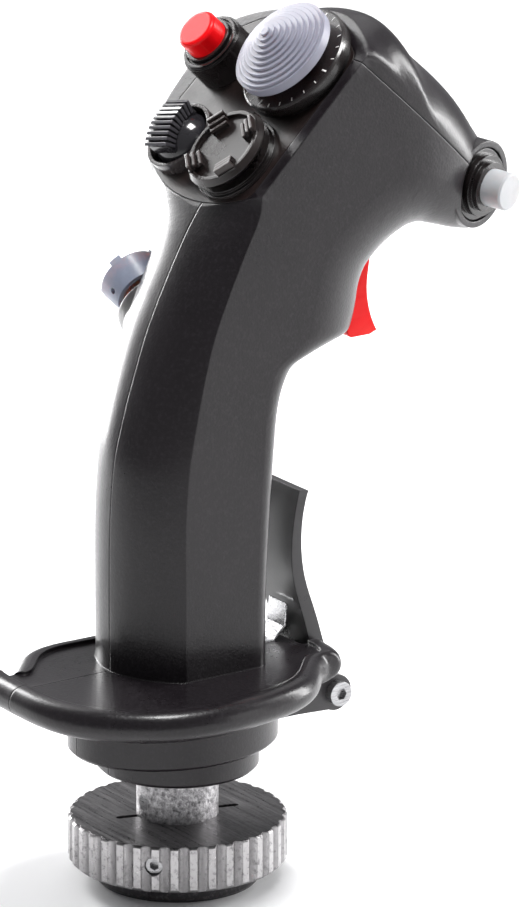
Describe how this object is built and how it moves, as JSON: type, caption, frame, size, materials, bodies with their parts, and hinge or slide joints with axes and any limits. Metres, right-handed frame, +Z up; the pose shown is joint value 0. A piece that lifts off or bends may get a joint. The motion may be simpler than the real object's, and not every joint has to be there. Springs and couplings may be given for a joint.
{
  "type": "flight joystick",
  "caption": "Pistol-style flight stick grip with hand rest, thumb switches, trigger, finger paddle and a fluted threaded coupling ring below.",
  "frame": {"origin": "centre of the coupling ring's open lower end, on the ring's axis", "axes": "+Z up along the coupling ring's axis, +Y forward away from the pilot, +X to the pilot's right"},
  "size_m": [0.0787, 0.1362, 0.208],
  "materials": {
    "shell_paint": "satin black paint over cast metal",
    "plate_paint": "satin brown-black paint",
    "screw_steel": "plain steel",
    "cast_neck": "rough cast, unpainted",
    "ring_steel": "turned and fluted, dull",
    "connector_metal": "plated",
    "insulator": "moulded",
    "contact_brass": "plain",
    "trigger_red": "gloss red paint over cast metal",
    "spring_steel": "bright wire and strip",
    "switch_plastic": "moulded",
    "collar_black": "semi-gloss black",
    "button_grey": "moulded light grey",
    "button_red": "moulded red",
    "trim_grey": "moulded light grey",
    "castle_black": "semi-gloss black",
    "rocker_gloss": "polished black",
    "thumb_grey": "satin blue-grey paint",
    "mechanism_steel": "turned",
    "lever_black": "satin black paint",
    "board_green": "glass-fibre board",
    "loom_jacket": "jacketed wires"
  },
  "bodies": {
    "grip": {"board_posts": "contact_brass", "bracket_screws": "screw_steel", "castle_housing": "insulator", "castle_ring": "collar_black", "connector_insert": "insulator", "connector_pins": "contact_brass", "connector_shell": "connector_metal", "faceplate": "plate_paint", "faceplate_screws": "screw_steel", "forward_collar": "collar_black", "forward_spring": "spring_steel", "forward_switch": "switch_plastic", "left_shell": "shell_paint", "lower_loom": "loom_jacket", "main_board": "board_green", "neck_dowels": "screw_steel", "neck_key": "screw_steel", "neck_tube": "cast_neck", "paddle_bracket": "lever_black", "paddle_pin": "screw_steel", "paddle_spring": "spring_steel", "paddle_switch": "switch_plastic", "plate_board": "board_green", "release_bushing": "collar_black", "release_collar": "collar_black", "release_spring": "spring_steel", "release_switch": "switch_plastic", "right_shell": "shell_paint", "rocker_housing": "insulator", "rocker_pin": "screw_steel", "rocker_ring": "collar_black", "shell_screws": "screw_steel", "thumb_housing": "insulator", "trigger_pin": "screw_steel", "trigger_spring": "spring_steel", "trigger_switch": "switch_plastic", "trim_bezel": "collar_black", "trim_housing": "insulator", "upper_loom": "loom_jacket"},
    "coupling_ring": {"coupling_ring": "ring_steel", "ring_set_screw": "screw_steel"},
    "trigger": {"trigger": "trigger_red"},
    "forward_button": {"forward_button": "button_grey"},
    "release_button": {"release_button": "button_red"},
    "trim_gimbal": {"trim_gimbal": "mechanism_steel"},
    "trim_hat": {"trim_hat": "trim_grey", "trim_stem": "mechanism_steel"},
    "castle_gimbal": {"castle_gimbal": "mechanism_steel"},
    "castle_hat": {"castle_hat": "castle_black", "castle_stem": "mechanism_steel"},
    "rocker_dome": {"rocker_dome": "rocker_gloss"},
    "thumb_gimbal": {"thumb_gimbal": "mechanism_steel"},
    "thumb_hat": {"thumb_hat": "thumb_grey", "thumb_stem": "mechanism_steel"},
    "paddle_lever": {"paddle_lever": "lever_black"}
  },
  "joints": [
    {"name": "coupling_ring_turn", "type": "hinge", "parent": "grip", "child": "coupling_ring", "pos_m": [0, 0, 0.008], "axis": [0, 0, 1], "continuous": true},
    {"name": "trigger_pull", "type": "hinge", "parent": "grip", "child": "trigger", "pos_m": [0, 0.05, 0.1565], "axis": [-1, 0, 0], "range_deg": [0, 9], "stiffness_Nm_per_rad": 0.6, "springref_deg": -6.88, "deforming": ["trigger_spring"]},
    {"name": "forward_button_press", "type": "slide", "parent": "grip", "child": "forward_button", "axis": [-0.9405, -0.3302, 0.08], "range_m": [0, 0.0018], "stiffness_N_per_m": 1200, "springref_m": -0.0008, "deforming": ["forward_spring"]},
    {"name": "release_button_press", "type": "slide", "parent": "grip", "child": "release_button", "axis": [0, 0.7071, -0.7071], "range_m": [0, 0.0018], "stiffness_N_per_m": 1200, "springref_m": -0.0008, "deforming": ["release_spring"]},
    {"name": "trim_pitch", "type": "hinge", "parent": "grip", "child": "trim_gimbal", "pos_m": [0.0005, 0.04036, 0.18756], "axis": [1, 0, 0], "range_deg": [-6, 6], "stiffness_Nm_per_rad": 0.35},
    {"name": "trim_roll", "type": "hinge", "parent": "trim_gimbal", "child": "trim_hat", "pos_m": [0.0005, 0.04036, 0.18756], "axis": [0, 0.7071, 0.7071], "range_deg": [-6, 6], "stiffness_Nm_per_rad": 0.35},
    {"name": "castle_pitch", "type": "hinge", "parent": "grip", "child": "castle_gimbal", "pos_m": [0.0018, 0.02141, 0.16861], "axis": [0.9903, 0.0984, 0.0984], "range_deg": [-5, 5], "stiffness_Nm_per_rad": 0.3},
    {"name": "castle_roll", "type": "hinge", "parent": "castle_gimbal", "child": "castle_hat", "pos_m": [0.0018, 0.02141, 0.16861], "axis": [-0.1392, 0.7002, 0.7002], "range_deg": [-5, 5], "stiffness_Nm_per_rad": 0.3},
    {"name": "rocker_tilt", "type": "hinge", "parent": "grip", "child": "rocker_dome", "pos_m": [-0.0196, 0.01985, 0.1696], "axis": [0.9613, 0.1949, 0.1949], "range_deg": [-4, 4], "stiffness_Nm_per_rad": 0.25},
    {"name": "thumb_pitch", "type": "hinge", "parent": "grip", "child": "thumb_gimbal", "pos_m": [-0.01582, 0.0052, 0.13461], "axis": [0, -1, 0], "range_deg": [-6, 6], "stiffness_Nm_per_rad": 0.3},
    {"name": "thumb_roll", "type": "hinge", "parent": "thumb_gimbal", "child": "thumb_hat", "pos_m": [-0.01582, 0.0052, 0.13461], "axis": [0.4695, 0, 0.8829], "range_deg": [-6, 6], "stiffness_Nm_per_rad": 0.3},
    {"name": "paddle_squeeze", "type": "hinge", "parent": "grip", "child": "paddle_lever", "pos_m": [0, 0.0385, 0.0415], "axis": [1, 0, 0], "range_deg": [0, 8], "stiffness_Nm_per_rad": 1.2, "springref_deg": -4.58, "deforming": ["paddle_spring"]}
  ]
}
